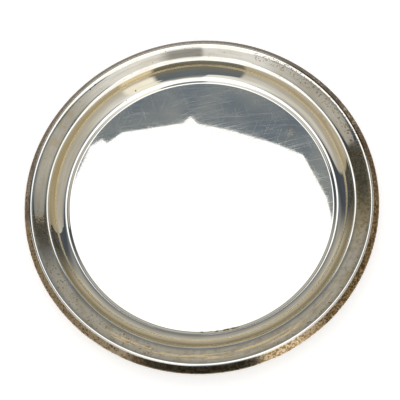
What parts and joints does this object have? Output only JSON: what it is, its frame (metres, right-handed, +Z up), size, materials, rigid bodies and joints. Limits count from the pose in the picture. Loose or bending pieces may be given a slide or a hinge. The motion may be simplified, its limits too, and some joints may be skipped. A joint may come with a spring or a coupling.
{
  "type": "salver",
  "caption": "Round silver-plated salver with a flat mirror floor, a small step, a hollow wall and rim, and a moulded border with a wired edge, for serving drinks or cards.",
  "frame": {"origin": "middle of the flat base, on the surface that the salver stands on", "axes": "+Z up along the axis of revolution, out of the well; +X and +Y lie in the plane of the base"},
  "size_m": [0.305, 0.305, 0.0232],
  "materials": {
    "dish_silver": "polished silver plate with hairline scratches and light tarnish",
    "border_silver": "worn silver plate, tarnished brown, with copper showing through in specks",
    "wire_brass": "plain drawn brass wire",
    "solder": "dull grey soft solder"
  },
  "bodies": {
    "root": {"dish": "dish_silver", "rim_border": "border_silver", "edge_wire": "wire_brass", "border_solder": "solder"}
  },
  "joints": []
}
